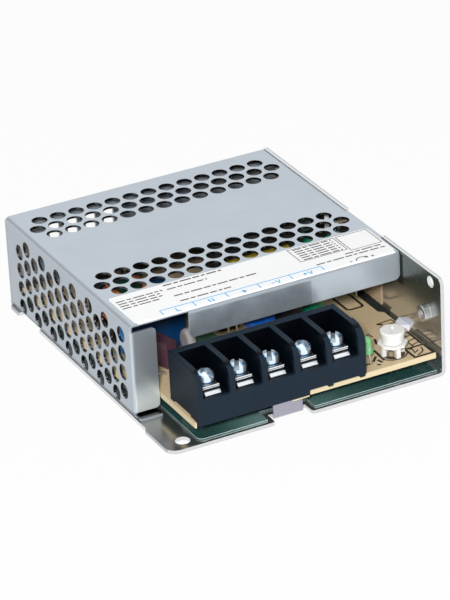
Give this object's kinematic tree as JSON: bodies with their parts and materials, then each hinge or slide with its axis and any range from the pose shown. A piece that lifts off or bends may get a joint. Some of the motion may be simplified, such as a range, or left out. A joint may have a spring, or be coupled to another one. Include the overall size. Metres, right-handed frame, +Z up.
{
  "type": "enclosed power supply",
  "caption": "Low enclosed switching power supply with a folded chassis, perforated cover, screw terminals along the open front edge, pilot light and output adjuster.",
  "frame": {"origin": "centre of the base's underside", "axes": "+X right along the terminal edge to the side wall, +Y from the terminal edge to the rear, +Z up"},
  "size_m": [0.082, 0.099, 0.0285],
  "materials": {
    "chassis_metal": "bright bare sheet",
    "cover_metal": "satin galvanised sheet",
    "fastener_metal": "bright zinc",
    "lead_metal": "tinned wire",
    "label_white": "satin film",
    "film_dark": "clear dark film",
    "board_tan": "bare laminate",
    "block_black": "satin moulding",
    "led_green": "tinted lens",
    "white_plastic": "satin moulding",
    "maroon_plastic": "satin moulding",
    "blue_plastic": "gloss",
    "pale_ceramic": "satin",
    "green_plastic": "gloss",
    "black_plastic": "satin",
    "ferrite": "matte",
    "core_coat": "epoxy coat",
    "copper_wire": "enamelled",
    "yellow_tape": "film tape",
    "tan_sheet": "matte",
    "resistor_body": "matte"
  },
  "bodies": {
    "supply": {"chassis": "chassis_metal", "cover": "cover_metal", "cover_screws": "fastener_metal", "board_standoffs": "fastener_metal", "board_screws": "fastener_metal", "contact_plates": "fastener_metal", "clamp_washers": "fastener_metal", "lock_washers": "fastener_metal", "terminal_screws": "fastener_metal", "package_clips": "fastener_metal", "clip_screws": "fastener_metal", "led_leads": "lead_metal", "trimmer_terminals": "lead_metal", "component_leads": "lead_metal", "label_plate": "label_white", "insulation_film": "film_dark", "circuit_board": "board_tan", "terminal_housing": "block_black", "led_lens": "led_green", "trimmer_base": "white_plastic", "board_supports": "white_plastic", "fuse_box": "maroon_plastic", "x_capacitor": "blue_plastic", "varistor": "blue_plastic", "y_capacitors": "blue_plastic", "ceramic_capacitor": "pale_ceramic", "film_capacitor": "green_plastic", "thermistor": "green_plastic", "output_capacitors": "green_plastic", "aux_capacitor": "black_plastic", "bulk_capacitor": "black_plastic", "choke_base": "black_plastic", "bridge_rectifier": "black_plastic", "transformer_bobbin": "black_plastic", "switching_transistor": "black_plastic", "output_rectifier": "black_plastic", "optocoupler": "black_plastic", "control_chip": "black_plastic", "transformer_core": "ferrite", "output_inductor_core": "ferrite", "choke_core": "core_coat", "choke_windings": "copper_wire", "output_inductor_coil": "copper_wire", "transformer_winding": "yellow_tape", "wall_insulator": "tan_sheet", "power_resistors": "resistor_body"},
    "adjuster": {"trimmer_knob": "white_plastic"}
  },
  "joints": [
    {"name": "output_adjust", "type": "hinge", "parent": "supply", "child": "adjuster", "pos_m": [0.0292, -0.0422, 0.0099], "axis": [0, 0, 1], "range_deg": [-105, 105]}
  ]
}
